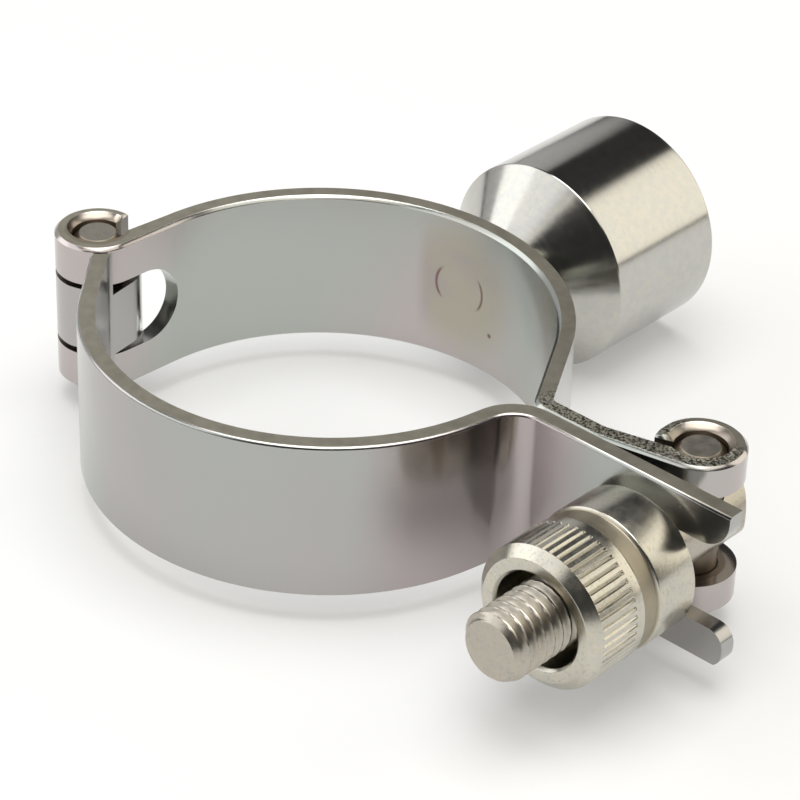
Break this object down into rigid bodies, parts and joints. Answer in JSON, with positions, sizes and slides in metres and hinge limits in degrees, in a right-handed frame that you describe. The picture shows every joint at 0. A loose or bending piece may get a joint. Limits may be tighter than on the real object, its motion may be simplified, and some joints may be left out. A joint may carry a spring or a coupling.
{
  "type": "hinged pipe clamp",
  "caption": "Hinged steel pipe clamp with a swing bolt, a knurled nut and a threaded boss that carries it.",
  "frame": {"origin": "centre of the clamped tube, half way along the band's width", "axes": "+Z along the tube, +X along the ears towards the swing bolt, +Y towards the threaded boss"},
  "size_m": [0.0928, 0.0818, 0.0256],
  "materials": {
    "polished_strip": "polished",
    "turned_steel": "turned and blasted",
    "pin_steel": "ground"
  },
  "bodies": {
    "rear_half": {"rear_half_band": "polished_strip", "threaded_boss": "turned_steel", "band_hinge_pin": "pin_steel", "bolt_hinge_pin": "pin_steel"},
    "front_half": {"front_half_band": "polished_strip"},
    "bolt": {"swing_bolt": "turned_steel"},
    "nut": {"knurled_nut": "turned_steel"}
  },
  "joints": [
    {"name": "bolt_swing", "type": "hinge", "parent": "rear_half", "child": "bolt", "pos_m": [0.04567, 0.00865, 0], "axis": [0, 0, 1], "range_deg": [0, 110]},
    {"name": "nut_travel", "type": "slide", "parent": "bolt", "child": "nut", "axis": [0, -1, 0], "range_m": [0, 0.02]},
    {"name": "front_open", "type": "hinge", "parent": "rear_half", "child": "front_half", "pos_m": [-0.03087, -0.00564, 0], "axis": [0, 0, -1], "range_deg": [0, 3.5]}
  ],
  "couplings": [
    {"joint": "nut_travel", "follows": "bolt_swing", "m_per_rad": 0.010417},
    {"joint": "front_open", "follows": "bolt_swing", "ratio": 0.031818}
  ]
}
